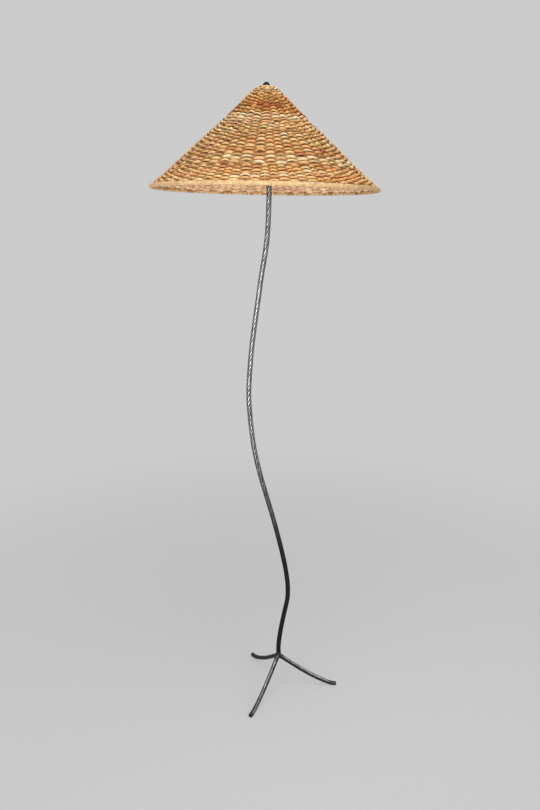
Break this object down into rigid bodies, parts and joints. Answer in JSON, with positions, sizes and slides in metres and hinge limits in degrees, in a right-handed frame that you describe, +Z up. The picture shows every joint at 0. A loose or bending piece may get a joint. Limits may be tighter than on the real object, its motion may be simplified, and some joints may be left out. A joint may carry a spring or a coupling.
{
  "type": "floor lamp",
  "caption": "Floor lamp with a hand-bent steel stem on a three-legged base, a harp over the lamp holder, and a woven rattan cone shade held by a finial.",
  "frame": {"origin": "on the floor, under the middle of the shade's rim, which is the middle of the lamp's bounding box", "axes": "+Z up; +X to the right as the lamp is seen from the front, along the right leg; +Y to the back"},
  "size_m": [0.6099, 0.6089, 1.8031],
  "materials": {
    "forged_steel": "satin",
    "zinc_fixings": "satin",
    "aged_brass": "satin",
    "phenolic": "satin",
    "fibre_liner": "matte",
    "black_finial": "satin",
    "frosted_glass": "satin",
    "woven_rattan": "matte",
    "rim_binding": "satin"
  },
  "bodies": {
    "stand": {"base_hub": "forged_steel", "leg_right": "forged_steel", "leg_front_left": "forged_steel", "leg_back_left": "forged_steel", "stem_tube": "forged_steel", "cord_outlet_bushing": "phenolic", "threaded_nipple": "zinc_fixings", "neck_washer": "zinc_fixings", "harp_saddle": "zinc_fixings", "lock_nut": "zinc_fixings", "harp_wire": "zinc_fixings", "harp_stud": "zinc_fixings", "socket_cap": "aged_brass", "socket_shell": "aged_brass", "insulating_liner": "fibre_liner", "socket_body": "phenolic", "terminal_screw_left": "aged_brass", "terminal_screw_right": "aged_brass", "screw_shell": "aged_brass", "centre_contact": "aged_brass"},
    "shade": {"shade_fitter": "zinc_fixings", "shade_weave": "woven_rattan", "rim_hoop": "rim_binding"},
    "finial": {"finial": "black_finial"},
    "bulb": {"bulb_base": "zinc_fixings", "bulb_glass": "frosted_glass"},
    "switch_key": {"switch_shaft": "zinc_fixings", "switch_knob": "phenolic"},
    "ferrule_left": {"harp_ferrule_left": "aged_brass"},
    "ferrule_right": {"harp_ferrule_right": "aged_brass"}
  },
  "joints": [
    {"name": "shade_turn", "type": "hinge", "parent": "stand", "child": "shade", "pos_m": [0.00292, 0.01491, 1.78723], "axis": [-0.0279, 0.0593, 0.9979], "continuous": true},
    {"name": "finial_screw", "type": "hinge", "parent": "stand", "child": "finial", "pos_m": [0.00292, 0.01491, 1.78723], "axis": [-0.0279, 0.0593, 0.9979], "continuous": true},
    {"name": "bulb_screw", "type": "hinge", "parent": "stand", "child": "bulb", "pos_m": [0.0076, 0.00496, 1.61989], "axis": [-0.0279, 0.0593, 0.9979], "continuous": true},
    {"name": "switch_turn", "type": "hinge", "parent": "stand", "child": "switch_key", "pos_m": [0.00819, -0.01625, 1.60012], "axis": [0, -0.9982, 0.0593], "continuous": true},
    {"name": "ferrule_left_lift", "type": "slide", "parent": "stand", "child": "ferrule_left", "axis": [-0.0279, 0.0593, 0.9979], "range_m": [0, 0.01]},
    {"name": "ferrule_right_lift", "type": "slide", "parent": "stand", "child": "ferrule_right", "axis": [-0.0279, 0.0593, 0.9979], "range_m": [0, 0.01]}
  ]
}
